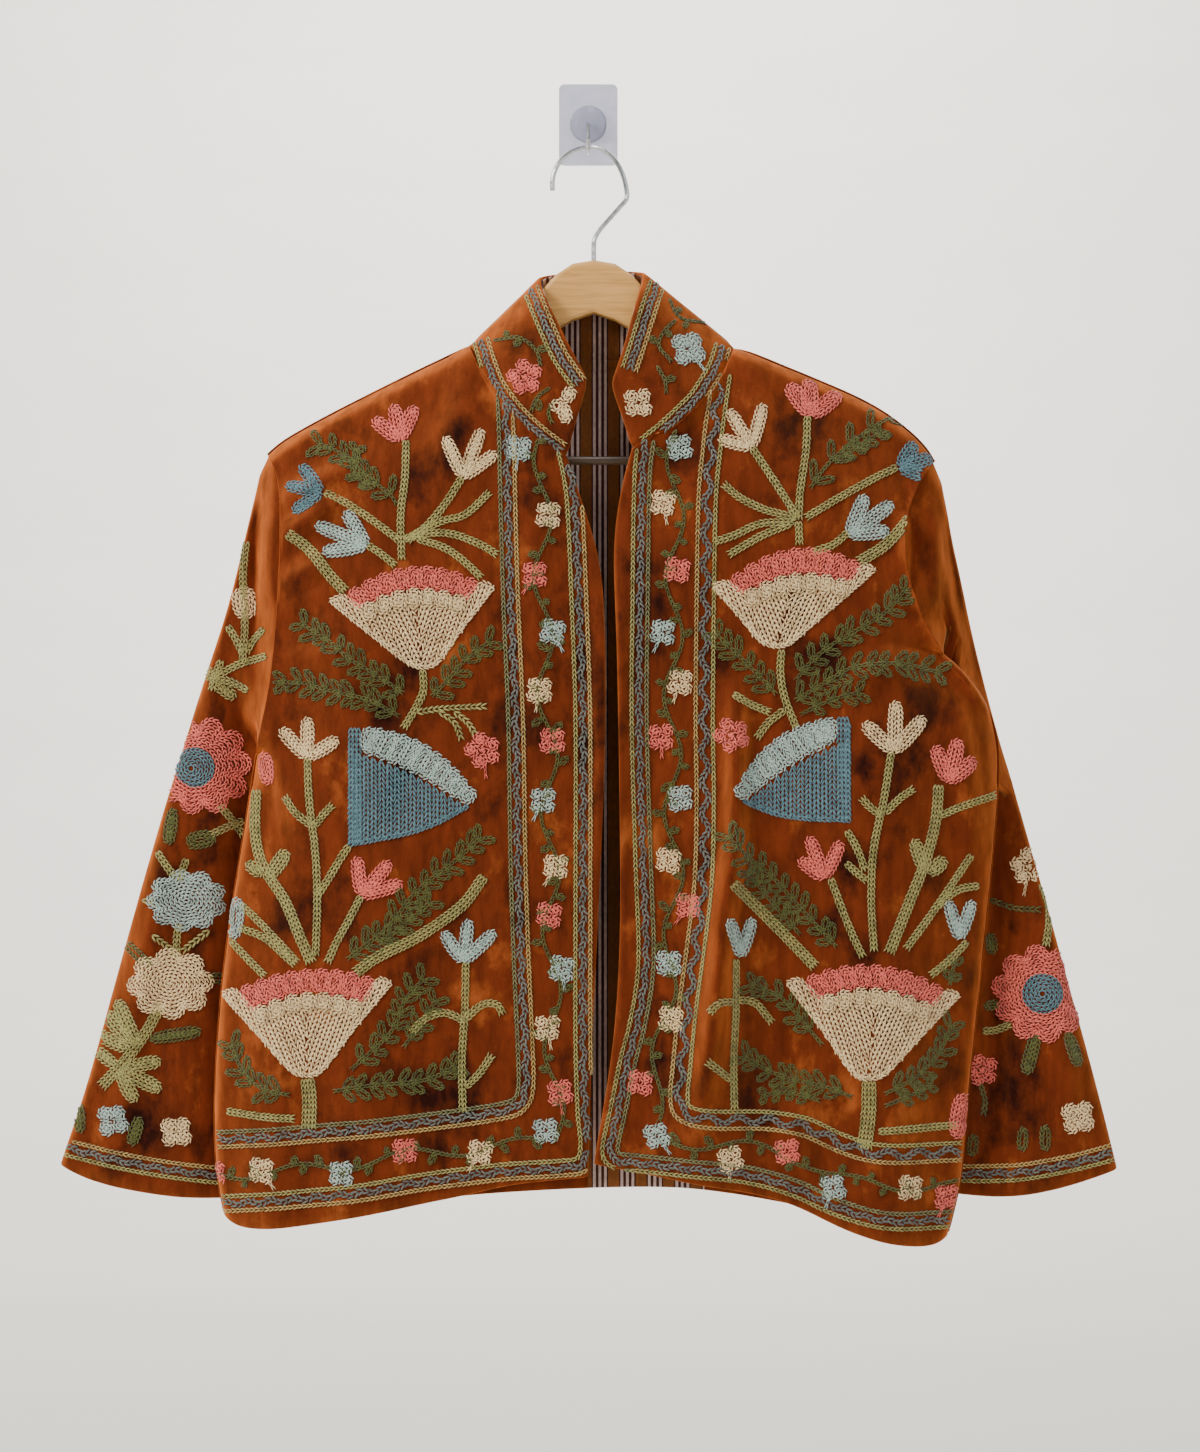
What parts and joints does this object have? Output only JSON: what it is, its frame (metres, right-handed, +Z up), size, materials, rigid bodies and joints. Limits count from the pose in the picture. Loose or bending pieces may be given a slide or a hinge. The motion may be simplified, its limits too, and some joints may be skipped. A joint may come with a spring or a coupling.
{
  "type": "velvet jacket on a wooden hanger and wall hook",
  "caption": "Boxy velvet jacket with a stand collar, open front and wide sleeves, hanging flat on a wooden hanger from a stick-on wall hook.",
  "frame": {"origin": "centre of the wall plate's flat back face", "axes": "+Z up, the jacket's front faces -Y, the wall is the plane y = 0, the wearer's left is at +X"},
  "size_m": [0.7481, 0.0626, 0.8254],
  "materials": {
    "velvet": "rust orange cotton velvet",
    "lining": "ochre brown woven lining with fine stripes",
    "hanger_wood": "clear lacquered light wood",
    "bar_wood": "dark stained round bar",
    "chrome_wire": "bright plated wire",
    "clear_plastic": "clear plastic with a faint lilac tint"
  },
  "bodies": {
    "root": {"back": "velvet", "lining_back": "lining", "front_right": "velvet", "front_left": "velvet", "sleeve_right": "velvet", "sleeve_left": "velvet", "collar": "velvet", "collar_lining": "lining", "hanger_body": "hanger_wood", "hanger_bar": "bar_wood", "hanger_hook": "chrome_wire", "wall_plate": "clear_plastic", "wall_boss": "clear_plastic", "wall_wire": "chrome_wire"}
  },
  "joints": []
}
